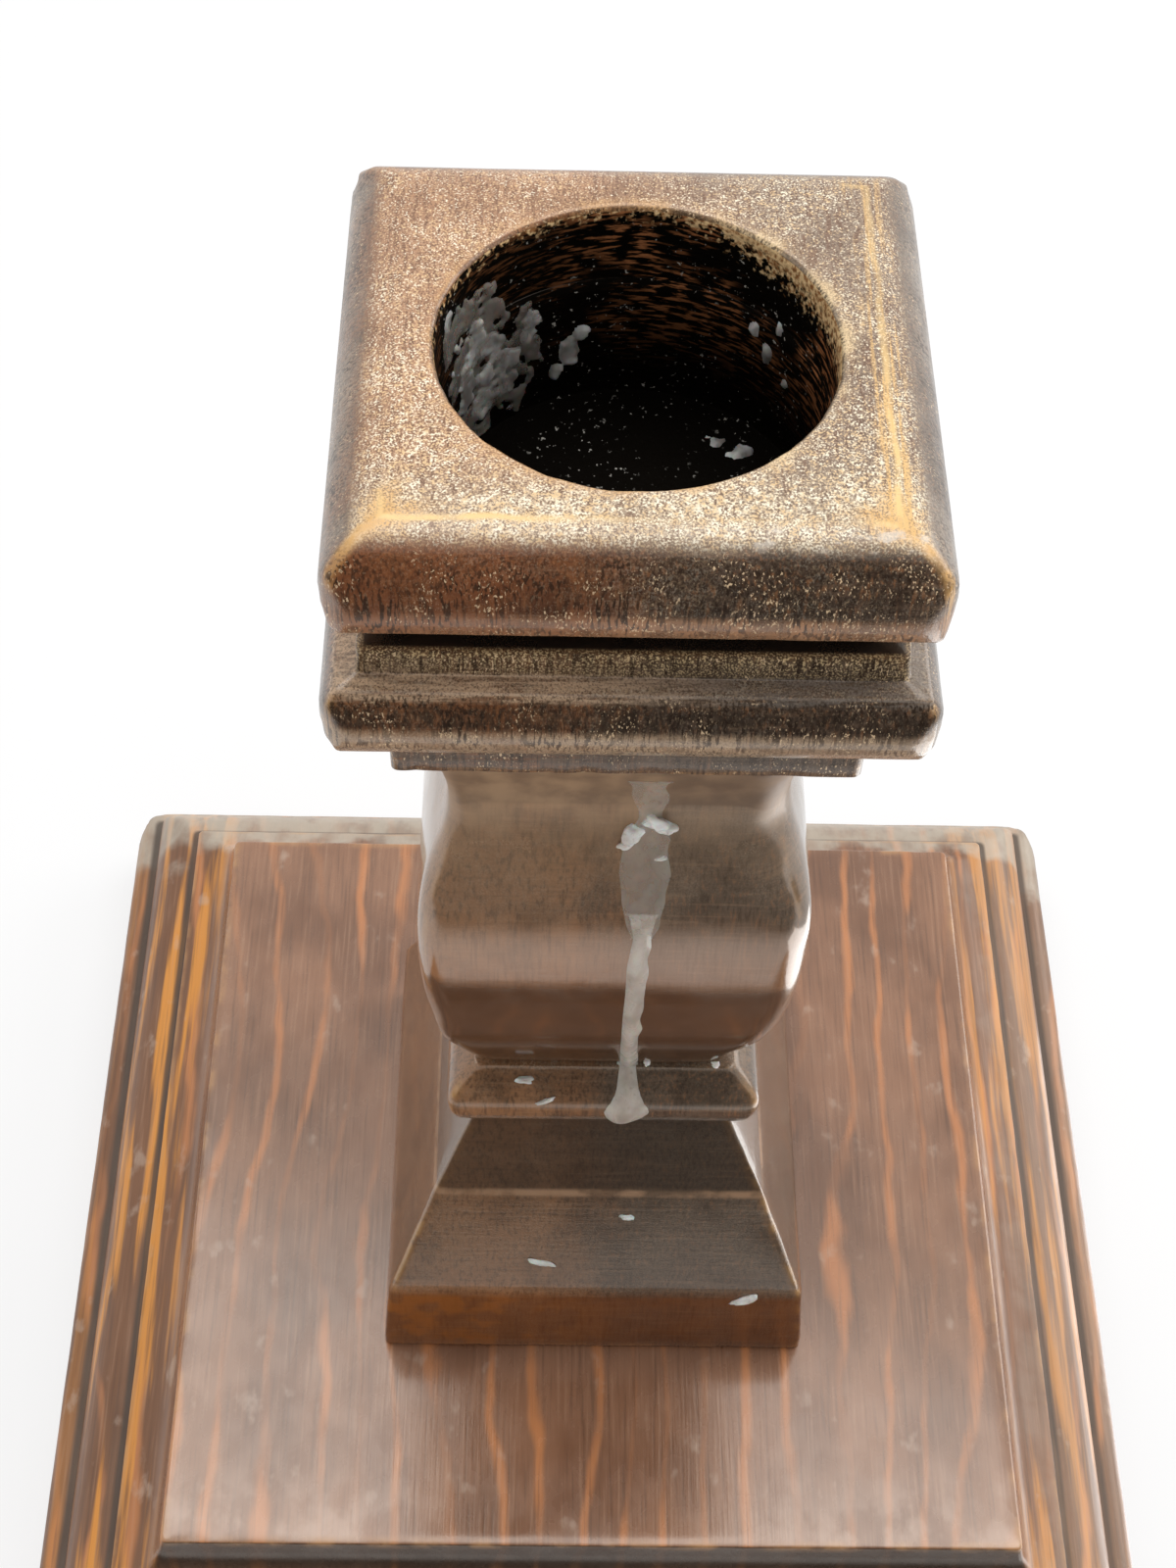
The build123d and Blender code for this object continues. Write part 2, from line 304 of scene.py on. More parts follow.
def worn_block(node, seed, materials):
    """A worn block of wood in place of a CAD node, swept round four sides from the node's own section."""
    shape = BLOCKS[node]
    points, closed = read_section(node)
    outline = worn_outline(points, closed, shape["edge"])
    if not closed:
        outline = outline[outline[:, 0] > AXIS_GAP]
    half, level, convex = outline.T
    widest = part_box(node)[1].x / MM
    outermost = int(np.argmax(half))
    angles = ring_angles()

    roundness = np.zeros(len(half))
    for side, rows in (("below", slice(0, outermost)), ("above", slice(outermost, None))):
        hole, square = shape[side]
        roundness[rows] = np.clip((square - half[rows]) / (square - hole), 0, 1)
    clipped = shape["corner_round"] - (widest - half) / (1 - math.sqrt(0.5))
    spots = np.stack(np.broadcast_arrays(
        half[:, None] * np.sign(np.cos(angles)), half[:, None] * np.sign(np.sin(angles)), level[:, None],
    ), axis=-1)
    worn_radius = shape["arris"] * (0.6 + 0.8 * value_noise(spots, ARRIS_PATCH, seed))
    front_right = (np.cos(angles) > 0) & (np.sin(angles) < 0)
    worn_radius = worn_radius * np.where(front_right, shape.get("front_right", 1.0), 1.0)
    radius = np.maximum(worn_radius, np.maximum(clipped, roundness * half)[:, None])
    radius = np.minimum(radius, half[:, None])
    reach = rounded_square(half[:, None], radius, angles)
    grid = np.stack([
        reach * np.cos(angles), reach * np.sin(angles), np.broadcast_to(level[:, None], reach.shape),
    ], axis=-1)

    rings, columns = reach.shape
    verts = grid.reshape(-1, 3)
    faces = []
    bands = rings if closed else rings - 1
    for ring in range(bands):
        low, high = ring * columns, (ring + 1) % rings * columns
        for column in range(columns):
            onward = (column + 1) % columns
            faces.append((low + column, low + onward, high + onward, high + column))
    if not closed:
        verts = np.vstack([verts, [0, 0, level[0]], [0, 0, level[-1]]])
        first, last = len(verts) - 2, len(verts) - 1
        top = (rings - 1) * columns
        for column in range(columns):
            onward = (column + 1) % columns
            faces.append((first, onward, column))
            faces.append((last, top + column, top + onward))
    made = mesh_object(node + "_worn", verts, faces, materials[0])

    folded = fold(angles)
    from_corner = half[:, None] * (1 - np.tan(folded))
    rise, run = np.abs(np.gradient(level)), np.abs(np.gradient(half))
    steep = rise / (np.hypot(rise, run) + 1e-9) * (1 - np.clip(3 * roundness, 0, 1))
    on_arris = np.exp(-((from_corner / ARRIS_WIDTH) ** 2)) * steep[:, None]
    on_edge = np.broadcast_to(np.clip(convex, 0, 1)[:, None], reach.shape)
    # How far the outline turns in, read by the finishes to paint shade into inner corners
    in_corner = np.broadcast_to(np.clip(-convex, 0, 1)[:, None], reach.shape)
    spare = np.zeros(len(verts) - reach.size)
    dented = np.append(np.maximum(on_arris, on_edge), spare)

    normals = np.empty(len(verts) * 3, np.float32)
    made.data.vertex_normals.foreach_get("vector", normals)
    dents = value_noise(verts, DENT_SIZE, seed + 1) * value_noise(verts, SMALL_DENT_SIZE, seed + 2)
    ripple = value_noise(verts, RIPPLE_SIZE, seed + 3)
    depth = FACE_RIPPLE * ripple + DENT_DEPTH * dented * dents**1.5
    moved = verts - normals.reshape(-1, 3) * depth[:, None]
    made.data.vertices.foreach_set("co", (moved * MM).astype(np.float32).ravel())
    made.data.update()
    set_attribute(made, "wear", np.append(on_edge, spare))
    set_attribute(made, "corner_shade", np.append(in_corner, spare))

    if len(materials) > 1:
        made.data.materials.append(materials[1])
        in_bore = (half < BORE_RADIUS + 0.1) & (level > BORE_FLOOR - 0.5)
        for ring in range(bands):
            if in_bore[ring] and in_bore[(ring + 1) % rings]:
                start = ring * columns
                for polygon in made.data.polygons[start:start + columns]:
                    polygon.material_index = 1
        if not closed:
            for polygon in made.data.polygons[(rings - 1) * columns:]:
                polygon.material_index = int(polygon.center.z > (BORE_FLOOR - 0.5) * MM)
    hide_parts(node)
    return outline


# Materials

class Nodes:
    """A material's or a world's node tree, cleared, with short ways to fill it."""

    def __init__(self, owner):
        owner.use_nodes = True
        self.tree = owner.node_tree
        self.tree.nodes.clear()

    def node(self, kind, inputs=None, **settings):
        made = self.tree.nodes.new("ShaderNode" + kind)
        for name, value in settings.items():
            setattr(made, name, value)
        for name, value in (inputs or {}).items():
            if isinstance(value, bpy.types.NodeSocket):
                self.tree.links.new(value, made.inputs[name])
            else:
                made.inputs[name].default_value = value
        return made

    def math(self, operation, a, b=0.0):
        return self.node("Math", {0: a, 1: b}, operation=operation).outputs[0]

    def seen(self):
        """1 for what the camera sees, straight or mirrored, and 0 for light that bounces."""
        path = self.node("LightPath")
        mirrored = self.math("MAXIMUM", path.outputs["Is Glossy Ray"], path.outputs["Is Transmission Ray"])
        return self.math("MAXIMUM", path.outputs["Is Camera Ray"], mirrored)

    def shade(self, kind, factor, a, b):
        """Shader a with shader b over it by a factor, as the tree's result."""
        mixed = self.node("MixShader", {0: factor, 1: a, 2: b}).outputs[0]
        self.node("Output" + kind, {"Surface": mixed})


class Finish(Nodes):
    """A new material's node tree, with short names for the nodes that the finishes share."""

    def __init__(self, name):
        self.material = bpy.data.materials.new(name)
        super().__init__(self.material)
        place = self.node("TexCoord").outputs["Object"]
        self.place = self.stretch(place, (1 / MM, 1 / MM, 1 / MM))

    def stretch(self, vector, scale, shift=(0, 0, 0)):
        return self.node("Mapping", {"Vector": vector, "Scale": scale, "Location": shift}).outputs[0]

    def noise(self, scale, detail=3.0, shift=(0, 0, 0)):
        """Noise with so many cells a millimetre along each axis."""
        place = self.stretch(self.place, scale, shift)
        return self.node("TexNoise", {"Vector": place, "Scale": 1.0, "Detail": detail}).outputs[0]

    def level(self, value, low, high, start=0.0, end=1.0):
        """Value taken from low and high to start and end, and held there beyond them."""
        return self.node(
            "MapRange",
            {"Value": value, "From Min": low, "From Max": high, "To Min": start, "To Max": end},
            interpolation_type="SMOOTHSTEP",
        ).outputs[0]

    def times(self, *values):
        product = values[0]
        for value in values[1:]:
            product = self.math("MULTIPLY", product, value)
        return product

    def plus(self, *values):
        total = values[0]
        for value in values[1:]:
            total = self.math("ADD", total, value)
        return total

    def size(self, value):
        return self.math("ABSOLUTE", value)

    def mix(self, factor, a, b):
        """Colour a with colour b laid over it by a factor."""
        return self.node("Mix", {0: factor, 6: a, 7: b}, data_type="RGBA").outputs[2]

    def paint(self, factor, red, green, blue):
        """A colour laid over the wood so far by a factor."""
        self.wood = self.mix(factor, self.wood, colour(red, green, blue))

    def attribute(self, name):
        return self.node("Attribute", attribute_name=name).outputs["Fac"]

    def axis(self, vector, name):
        return self.node("SeparateXYZ", {0: vector}).outputs[name]

    def facing(self, name):
        """How far the surface faces along an axis, from -1 to 1."""
        return self.axis(self.node("NewGeometry").outputs["Normal"], name)

    def bump(self, height, depth):
        return self.node("Bump", {"Height": height, "Distance": depth * MM}).outputs[0]

    def finish(self, **inputs):
        named = {name.replace("_", " "): value for name, value in inputs.items()}
        surface = self.node("BsdfPrincipled", named).outputs[0]
        self.node("OutputMaterial", {"Surface": surface})
        return self.material


def colour(red, green, blue):
    return (red, green, blue, 1.0)


def stick_wood(name, warm, middle, cool, gilt, dusty, settled, film, contrast, gloss, sides=0.0, corner_shading=0.9):
    """Dark polished wood, warmer on its left as a painted reflection, dusty on top and rubbed to tan and gold
    along its arrises.

    warm, middle and cool are its colours from left to right, and that change is a painted reflection. gilt is
    how far its arrises are rubbed, dusty, settled and film how far dust specks its sides, lies on its top and
    dulls its sides, contrast how far its grain shows, gloss its polish, sides the dust on its left and right,
    and grimy how dark the painted shade in its inner corners is. More layers can follow.
    """
    look = Finish(name)
    level, times, paint = look.level, look.times, look.paint
    x, y, z = (look.axis(look.place, name) for name in "XYZ")
    wander = level(look.noise((0.16, 0.16, 0.03), 2.0), 0.2, 0.8, -3.0, 3.0)
    side = look.plus(x, wander)
    # The wood goes from warm on the left to cool on the right, a painted reflection whose edge wanders a
    # little
    look.wood = look.mix(level(side, -2.5, 4.0), colour(*middle), colour(*cool))
    paint(level(side, -3.2, -4.8), *warm)
    cloud = look.noise((0.24, 0.24, 0.2), 4.0, (7, 3, 1))
    paint(level(cloud, 0.46, 0.68, 0, 0.85 * contrast), 0.035, 0.02, 0.013)
    fibre = look.noise((4.2, 4.2, 0.3), 3.0)
    paint(level(fibre, 0.5, 0.66, 0, 0.8 * contrast), 0.018, 0.01, 0.007)
    paint(level(fibre, 0.47, 0.3, 0, 0.4 * contrast), 0.42, 0.17, 0.06)
    sanding = look.noise((0.22, 0.22, 3.6), 3.0, (2, 5, 3))
    paint(level(sanding, 0.52, 0.75, 0, 0.22), 0.4, 0.24, 0.14)
    paint(level(sanding, 0.46, 0.3, 0, 0.25), 0.04, 0.024, 0.016)

    dusting = look.noise((0.2, 0.2, 0.2), 3.0, (1, 9, 4))
    not_under = level(look.facing("Z"), -0.1, 0.12)
    dulled = times(not_under, level(dusting, 0.3, 0.7, 0.15, 0.5), film)
    paint(dulled, 0.27, 0.2, 0.145)
    sideways = level(look.size(look.facing("X")), 0.3, 0.75)
    beside = times(sideways, level(dusting, 0.35, 0.65, 0.35, 0.8))
    paint(times(beside, sides), 0.4, 0.34, 0.28)
    up = times(level(look.facing("Z"), 0.8, 0.97), settled)
    streaks = look.noise((4.2, 0.5, 3.0), 3.0, (6, 2, 2))
    haze = times(up, level(dusting, 0.3, 0.65, 0.6, 0.9))
    # The dust is warmer on the left too, the same painted reflection
    dusted = look.mix(level(side, -6.0, 9.0), colour(0.55, 0.315, 0.185), colour(0.37, 0.275, 0.205))
    dusted = look.mix(level(y, -8.0, -13.0, 0, 0.8), dusted, colour(0.62, 0.5, 0.36))
    look.wood = look.mix(haze, look.wood, dusted)
    paint(times(up, level(streaks, 0.5, 0.62, 0, 0.55)), 0.16, 0.07, 0.04)
    speckle = look.noise((8.4, 8.4, 7.6), 4.0, (4, 4, 8))
    nearer = look.plus(level(y, 10.0, -13.0, 0, 0.05), level(dusting, 0.35, 0.65, -0.035, 0.015))
    specks = level(look.plus(speckle, nearer), 0.53, 0.63)
    scatter = level(dusting, 0.3, 0.7, 0.4 * dusty, dusty)
    dust = times(specks, look.plus(times(up, 0.9), scatter))
    tone = level(look.noise((2.1, 2.1, 2.1), 3.0, (9, 5, 3)), 0.38, 0.62)
    look.wood = look.mix(dust, look.wood, look.mix(tone, colour(0.8, 0.57, 0.31), colour(1.0, 0.92, 0.72)))
    pits = times(level(speckle, 0.46, 0.38), look.plus(times(up, 0.62), scatter))
    paint(pits, 0.075, 0.036, 0.02)

    steep = level(look.size(look.facing("Z")), 0.95, 0.6)
    from_arris = look.size(look.math("SUBTRACT", look.size(x), look.size(y)))
    rubbed = look.noise((0.45, 0.45, 0.45), 4.0, (3, 1, 6))
    tan = times(level(from_arris, 1.0, 0.15), steep, level(rubbed, 0.38, 0.6, 0.1, 0.9))
    paint(times(tan, gilt), 0.48, 0.22, 0.065)
    gold = times(level(from_arris, 0.5, 0.1), steep, level(rubbed, 0.46, 0.6))
    paint(times(gold, gilt), 0.72, 0.42, 0.15)
    wear = level(look.attribute("wear"), 0.3, 0.9)
    bare = times(wear, level(rubbed, 0.4, 0.62, 0.1, 0.75))
    paint(times(bare, level(speckle, 0.4, 0.6, 0.4, 1.0)), 0.55, 0.3, 0.12)
    # Inner corners are darkened: painted shade
    corner_shade = level(look.attribute("corner_shade"), 0.12, 0.5, 0, corner_shading)
    paint(corner_shade, 0.012, 0.008, 0.006)

    look.x, look.y, look.z = x, y, z
    look.rubbed, look.speckle, look.from_arris = rubbed, speckle, from_arris
    height = look.plus(times(fibre, -0.4), times(speckle, 0.5), times(sanding, 0.4))
    rough = level(rubbed, 0.3, 0.7, 0.12 + 0.3 * (1 - gloss), 0.2 + 0.3 * (1 - gloss))
    rough = look.plus(rough, times(dust, 0.25), times(haze, 0.12))
    look.sockets = dict(
        Roughness=rough, Normal=look.bump(height, 0.03), Specular_IOR_Level=0.95 * gloss,
        Specular_Tint=colour(1.0, 0.77, 0.58), Coat_Weight=0.4 * gloss, Coat_Roughness=0.07, Coat_IOR=1.7,
    )
    return look


def finish_stick(look):
    """The last step of a stick's finish."""
    return look.finish(Base_Color=look.wood, **look.sockets)


def mark_grain(look, where):
    """Fine dark marks along the grain and a few pale flecks, as far as where says."""
    patches = look.level(look.rubbed, 0.35, 0.65, 0.35, 1.0)
    dark = look.level(look.noise((5.6, 5.6, 0.5), 4.0, (8, 5, 2)), 0.5, 0.57)
    look.paint(look.times(dark, patches, where, 0.85), 0.025, 0.013, 0.008)
    pale = look.level(look.noise((8.2, 8.2, 3.6), 3.0, (2, 9, 6)), 0.6, 0.65)
    clusters = look.level(look.noise((0.4, 0.4, 0.6), 3.0, (4, 7, 1)), 0.46, 0.6, 0.1, 0.8)
    look.paint(look.times(pale, clusters, where), 0.85, 0.62, 0.38)


def foot_layers(look):
    """The foot's plinth is redder, its slopes are darker, and the one under the collar carries a painted
    shade besides.
    """
    level, times, paint = look.level, look.times, look.paint
    plinth = level(look.z, PLINTH_LEVEL + 0.6, PLINTH_LEVEL - 0.6)
    paint(times(plinth, 0.6), 0.13, 0.034, 0.006)
    worn = times(plinth, level(look.rubbed, 0.4, 0.6, 0.1, 0.6))
    worn = times(worn, level(look.x, 2, -12, 0.2, 1.0))
    paint(worn, 0.34, 0.105, 0.014)
    slopes = level(look.z, PLINTH_LEVEL + 0.6, PLINTH_LEVEL + 1.6)
    paint(times(slopes, 0.3), 0.055, 0.042, 0.034)
    # Painted shade on the upper slope, under the collar's overhang
    upper = level(look.z, KNEE_LEVEL - 0.2, KNEE_LEVEL + 0.4)
    paint(times(upper, 0.5), 0.035, 0.024, 0.018)
    ridge = level(look.size(look.math("SUBTRACT", look.z, KNEE_LEVEL)), 0.5, 0.1)
    rubbed = level(look.rubbed, 0.35, 0.6, 0.2, 0.8)
    paint(times(ridge, rubbed), 0.4, 0.24, 0.14)
    look.sockets["Coat_Weight"] = level(plinth, 0, 1, 0.4, 0.0)
    return look


def stem_layers(look):
    """The stem's belly has a warm band painted at its widest, strongest at the front, as a painted
    reflection.
    Where it turns under it is painted dark: a sharp painted reflection at the front and a softer painted
    shade all round. Its neck is paler.
    """
    level, times, paint = look.level, look.times, look.paint
    # The dark where the belly turns under: a sharp painted reflection at the front, a softer painted shade
    # all round
    front = level(look.facing("Y"), -0.6, -0.9)
    sharp = times(level(look.facing("Z"), -0.034, -0.06, 0, 0.9), front)
    under = look.math("MAXIMUM", sharp, level(look.facing("Z"), -0.02, -0.2, 0, 0.7))
    # A warm band where the belly is widest, strongest at the front: a painted reflection
    belly_band = level(look.z, BELLY_LEVEL + 6.8, BELLY_LEVEL - 2.2)
    belly_band = times(level(look.facing("Z"), 0.3, 0.04), belly_band)
    belly_band = times(belly_band, level(front, 0, 1, 0.16, 0.5))
    paint(belly_band, 0.36, 0.155, 0.065)
    paint(under, 0.05, 0.02, 0.008)
    neck = level(look.z, NECK_LEVEL - 8.0, NECK_LEVEL + 2.5)
    neck = times(neck, level(look.rubbed, 0.3, 0.7, 0.3, 0.75))
    neck = times(neck, level(look.x, 10, -4, 0.55, 1.0))
    paint(neck, 0.44, 0.275, 0.15)
    worn = level(look.z, NECK_LEVEL - 7.0, NECK_LEVEL + 2.0)
    look.sockets["Roughness"] = look.plus(look.sockets["Roughness"], times(worn, 0.3))
    look.sockets["Coat_Weight"] = level(worn, 0, 1, 0.4, 0.0)
    look.sockets["Normal"] = look.bump(look.rubbed, 0.03)
    return look


def capital_layers(look):
    """The capital's bands: a smooth ledge, flecked fillet, dark nose, tan lower edge, a painted shade under
    the abacus and a groove painted black as shade.
    """
    level, times, paint = look.level, look.times, look.paint
    widest = look.math("MAXIMUM", look.size(look.x), look.size(look.y))
    right = level(look.x, -5.0, 8.0)
    streaks = level(look.noise((0.35, 4.0, 5.0), 3.0, (1, 4, 2)), 0.38, 0.6, 0.25, 1.0)
    outside = level(widest, FILLET_HALF - 0.1, FILLET_HALF + 0.1)
    ledge = times(level(look.z, FILLET_LEVEL - 0.8, FILLET_LEVEL - 0.45), outside)
    planed = look.mix(right, colour(0.62, 0.43, 0.28), colour(0.19, 0.16, 0.135))
    look.wood = look.mix(times(ledge, streaks, 0.9), look.wood, planed)
    pits = times(ledge, level(look.speckle, 0.46, 0.38), 0.6)
    paint(pits, 0.06, 0.04, 0.028)
    inside = level(widest, FILLET_HALF + 0.1, FILLET_HALF - 0.1)
    fillet = times(level(look.z, FILLET_LEVEL - 0.3, FILLET_LEVEL - 0.1), inside)
    paint(times(fillet, 0.5), 0.11, 0.068, 0.034)
    fibre = level(look.noise((4.6, 4.6, 0.3), 3.0, (3, 2, 2)), 0.42, 0.56, 0.25, 0.85)
    paint(times(fillet, fibre, 0.6), 0.04, 0.025, 0.014)
    flecks = times(level(look.speckle, 0.51, 0.58), fillet)
    paint(times(flecks, 0.8), 0.72, 0.53, 0.28)
    nose = level(look.z, NOSE_LEVEL + 0.1, NOSE_LEVEL + 0.8)
    nose = times(nose, level(look.z, FILLET_LEVEL - 0.7, FILLET_LEVEL - 1.2))
    paint(times(nose, fibre, 0.85), 0.035, 0.024, 0.017)
    below = level(look.z, NOSE_LEVEL + 0.6, NOSE_LEVEL - 0.1)
    below = times(below, level(look.z, ABACUS_LEVEL + 0.3, ABACUS_LEVEL + 1.3))
    below = times(below, level(look.rubbed, 0.3, 0.6, 0.55, 0.9))
    below = times(below, level(look.speckle, 0.35, 0.55, 0.6, 1.0))
    paint(below, 0.45, 0.315, 0.2)
    # Painted shade on the fillet under the abacus
    shaded = level(look.z, ABACUS_LEVEL + 0.1, ABACUS_LEVEL - 0.7)
    paint(times(shaded, streaks, 0.75), 0.09, 0.06, 0.04)
    mark_grain(look, level(look.facing("Z"), 1.0, 0.6, 0.4, 1.0))
    # The groove is painted near black: painted shade
    groove = level(look.z, GROOVE_LEVEL - 0.25, GROOVE_LEVEL - 0.05)
    groove = times(groove, level(widest, FILLET_HALF - 0.25, FILLET_HALF - 0.55))
    paint(groove, 0.014, 0.011, 0.009)
    return look


def top_layers(look):
    """The top block's rubbed lines, along the crease round its top, at its front corners and round the hole,
    its pale scuffs, partly painted glints, and its redder front.
    """
    level, times, paint = look.level, look.times, look.paint
    x, y = look.x, look.y
    widest = look.math("MAXIMUM", look.size(x), look.size(y))
    waver = level(look.noise((0.3, 0.3, 0.3), 3.0, (6, 6, 2)), 0.2, 0.8, -0.16, 0.16)
    from_crease = look.size(look.math("SUBTRACT", look.plus(widest, waver), TOP_CREASE))
    raised = level(look.z, RIM_LEVEL - 2.0, RIM_LEVEL - 1.0)
    shoulder = times(level(from_crease, 1.7, 0.2), raised, level(look.from_arris, 3.0, 0.6))
    shoulder = times(shoulder, level(look.speckle, 0.4, 0.6, 0.25, 0.85), level(y, -2, -9))
    paint(shoulder, 0.8, 0.46, 0.15)
    crease = times(level(from_crease, 0.34, 0.04), raised)
    front = times(level(y, -11, -13), level(x, 2, -9, 0.15, 1.0))
    right = times(level(x, 11, 13), level(y, 8, -9, 0.4, 0.95))
    mitre = times(level(look.from_arris, 0.85, 0.1), level(y, -4, -9))
    mitre = times(mitre, level(widest, TOP_CREASE - 0.8, TOP_CREASE + 0.2))
    mitre = times(mitre, level(look.z, RIM_LEVEL - 3.4, RIM_LEVEL - 2.2))
    mitre = times(mitre, level(look.rubbed, 0.36, 0.56, 0.35, 1.0))
    paint(mitre, 0.72, 0.42, 0.15)
    strong = times(level(look.rubbed, 0.34, 0.55, 0.4, 1.0), look.math("MAXIMUM", front, right))
    paint(times(crease, strong), 0.88, 0.6, 0.26)
    radius = look.math("SQRT", look.plus(times(x, x), times(y, y)))
    rim = times(level(radius, BORE_RADIUS + 1.2, BORE_RADIUS), raised)
    rim = times(rim, level(look.rubbed, 0.4, 0.62, 0.1, 0.85), level(x, -9, 6, 0.35, 1.0))
    rim = times(rim, level(look.speckle, 0.36, 0.56, 0.4, 1.0))
    bleached = look.mix(level(x, 0, 8), colour(0.68, 0.4, 0.17), colour(0.95, 0.74, 0.44))
    look.wood = look.mix(rim, look.wood, bleached)
    ribs = level(look.noise((3.4, 0.14, 0.4), 3.0, (2, 4, 4)), 0.48, 0.6)
    ribbed = times(ribs, level(from_crease, 1.5, 0.3), raised, level(x, 11, 12.5))
    ribbed = times(ribbed, level(y, 13, -9, 0.5, 0.95))
    ribbed = times(ribbed, level(look.speckle, 0.36, 0.54, 0.3, 1.0))
    paint(ribbed, 0.8, 0.5, 0.2)
    # Pale scuffs under the crease at the front right, partly painted glints
    pale = level(look.noise((0.9, 1.6, 1.6), 4.0, (8, 2, 5)), 0.5, 0.64)
    below = times(level(widest, TOP_CREASE + 0.2, TOP_CREASE + 0.6), level(y, -13, -14))
    below = times(below, level(widest, TOP_CREASE + 1.9, TOP_CREASE + 1.0))
    scuffs_and_glints = times(pale, level(x, 0, 5), below, raised)
    paint(times(scuffs_and_glints, 0.6), 0.72, 0.66, 0.58)
    lower = level(look.z, RIM_LEVEL - 3.6, RIM_LEVEL - 4.4)
    lower = times(lower, level(look.rubbed, 0.3, 0.65, 0.35, 0.8))
    paint(lower, 0.46, 0.22, 0.1)
    turned = times(level(look.facing("Z"), 0.98, 0.75), level(look.facing("Y"), -0.1, -0.4))
    reddish = times(turned, level(x, 4, -8), level(look.rubbed, 0.3, 0.65, 0.25, 0.6))
    paint(reddish, 0.2, 0.058, 0.02)
    mark_grain(look, level(look.facing("Z"), 0.95, 0.7))
    return look


def bore_wood():
    """The candle hole's sooty wall, with the drill's rings showing brown through the soot and a bare lip."""
    look = Finish("bore_wood")
    level, times = look.level, look.times
    depth = look.axis(look.place, "Z")
    turned = look.noise((0.8, 0.8, 4.2), 3.0)
    patches = look.noise((0.2, 0.2, 0.2), 3.0, (3, 8, 2))
    shallow = level(depth, BORE_FLOOR + 1.6, RIM_LEVEL - 4.1)
    around = level(look.axis(look.place, "X"), -6.0, 0.0, 0.25, 1.0)
    rings = times(level(turned, 0.49, 0.63), level(patches, 0.38, 0.56), shallow, around)
    soot = look.mix(rings, colour(0.004, 0.003, 0.002), colour(0.36, 0.14, 0.055))
    crust = look.noise((3.2, 3.2, 3.2), 3.0, (5, 1, 1))
    specks = times(level(crust, 0.65, 0.72), level(patches, 0.6, 0.42))
    soot = look.mix(times(specks, 0.8), soot, colour(0.7, 0.67, 0.6))
    ragged = level(look.noise((2.6, 2.6, 2.6), 3.0), 0.3, 0.7, -0.9, 0.9)
    bare = level(look.axis(look.place, "X"), 2.0, 9.0, 0.0, 1.7)
    lip = level(look.plus(depth, ragged, bare), RIM_LEVEL - 0.7, RIM_LEVEL + 0.3)
    bared = look.mix(level(crust, 0.36, 0.6), colour(0.34, 0.15, 0.055), colour(0.95, 0.66, 0.34))
    soot = look.mix(times(lip, 0.9), soot, bared)
    return look.finish(
        Base_Color=soot, Roughness=level(crust, 0.3, 0.7, 0.5, 0.8),
        Normal=look.bump(look.plus(turned, crust), 0.08), Specular_IOR_Level=0.02,
    )


